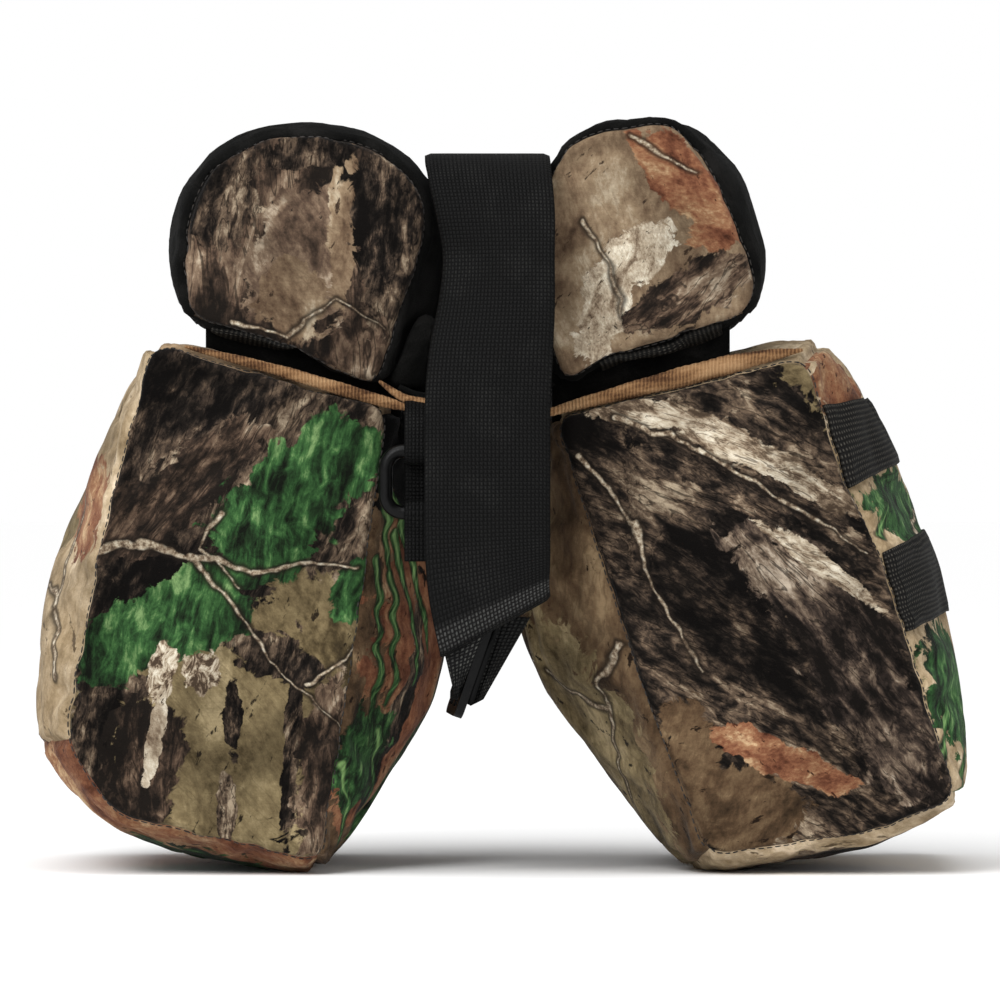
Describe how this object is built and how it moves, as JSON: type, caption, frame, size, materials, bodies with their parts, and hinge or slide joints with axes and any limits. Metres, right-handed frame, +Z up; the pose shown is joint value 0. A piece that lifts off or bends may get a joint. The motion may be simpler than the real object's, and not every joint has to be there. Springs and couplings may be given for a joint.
{
  "type": "shooting rest bag",
  "caption": "Straddle rest bag: leg bags splayed under padded rolls that form a groove, with a webbing strap, ring and slide.",
  "frame": {"origin": "middle of the whole object's box, at the level it stands on", "axes": "+Z up, +X across the two bags, +Y along the groove from the front end to the back end"},
  "size_m": [0.2896, 0.2178, 0.2324],
  "materials": {
    "camo_cloth": "matte",
    "suede_cloth": "matte",
    "webbing": "matte",
    "hook_tape": "matte",
    "fill": "matte",
    "hardware": "satin"
  },
  "bodies": {
    "yoke": {"yoke_web": "suede_cloth", "front_tab": "webbing", "rear_tab": "webbing", "carry_strap": "webbing"},
    "left_leg": {"left_leg_front_panel": "camo_cloth", "left_leg_back_panel": "camo_cloth", "left_leg_top_gusset": "camo_cloth", "left_leg_inner_gusset": "camo_cloth", "left_leg_bottom_gusset": "camo_cloth", "left_leg_outer_gusset": "camo_cloth", "left_leg_fill": "fill"},
    "right_leg": {"right_leg_front_panel": "camo_cloth", "right_leg_back_panel": "camo_cloth", "right_leg_top_gusset": "camo_cloth", "right_leg_inner_gusset": "camo_cloth", "right_leg_bottom_gusset": "camo_cloth", "right_leg_outer_gusset": "camo_cloth", "right_leg_fill": "fill", "hook_band_low": "hook_tape", "hook_band_high": "hook_tape"},
    "left_roll": {"left_roll_front_disc": "camo_cloth", "left_roll_back_disc": "camo_cloth", "left_roll_wrap": "suede_cloth", "left_roll_underside": "camo_cloth", "left_roll_closure": "hook_tape", "left_roll_fill": "fill"},
    "right_roll": {"right_roll_front_disc": "camo_cloth", "right_roll_back_disc": "camo_cloth", "right_roll_wrap": "suede_cloth", "right_roll_underside": "camo_cloth", "right_roll_closure": "hook_tape", "right_roll_fill": "fill"},
    "hanging_ring": {"ring": "hardware", "strap_end_loop": "webbing"},
    "slide": {"tri_glide": "hardware", "strap_link": "webbing"}
  },
  "joints": [
    {"name": "left_leg_swing", "type": "hinge", "parent": "yoke", "child": "left_leg", "pos_m": [-0.0265, 0, 0.145], "axis": [0, -1, 0], "range_deg": [0, 7]},
    {"name": "right_leg_swing", "type": "hinge", "parent": "yoke", "child": "right_leg", "pos_m": [0.014, 0, 0.145], "axis": [0, 1, 0], "range_deg": [0, 7]},
    {"name": "left_roll_rock", "type": "hinge", "parent": "left_leg", "child": "left_roll", "pos_m": [-0.036, 0, 0.148], "axis": [0, -1, 0], "range_deg": [0, 4]},
    {"name": "right_roll_rock", "type": "hinge", "parent": "right_leg", "child": "right_roll", "pos_m": [0.0175, 0, 0.149], "axis": [0, 1, 0], "range_deg": [0, 4]},
    {"name": "ring_swing", "type": "hinge", "parent": "yoke", "child": "hanging_ring", "pos_m": [-0.0132, -0.0856, 0.1296], "axis": [1, 0, 0], "range_deg": [-10, 8]},
    {"name": "slide_adjust", "type": "slide", "parent": "yoke", "child": "slide", "axis": [0, 1, 0], "range_m": [0, 0.006]}
  ]
}
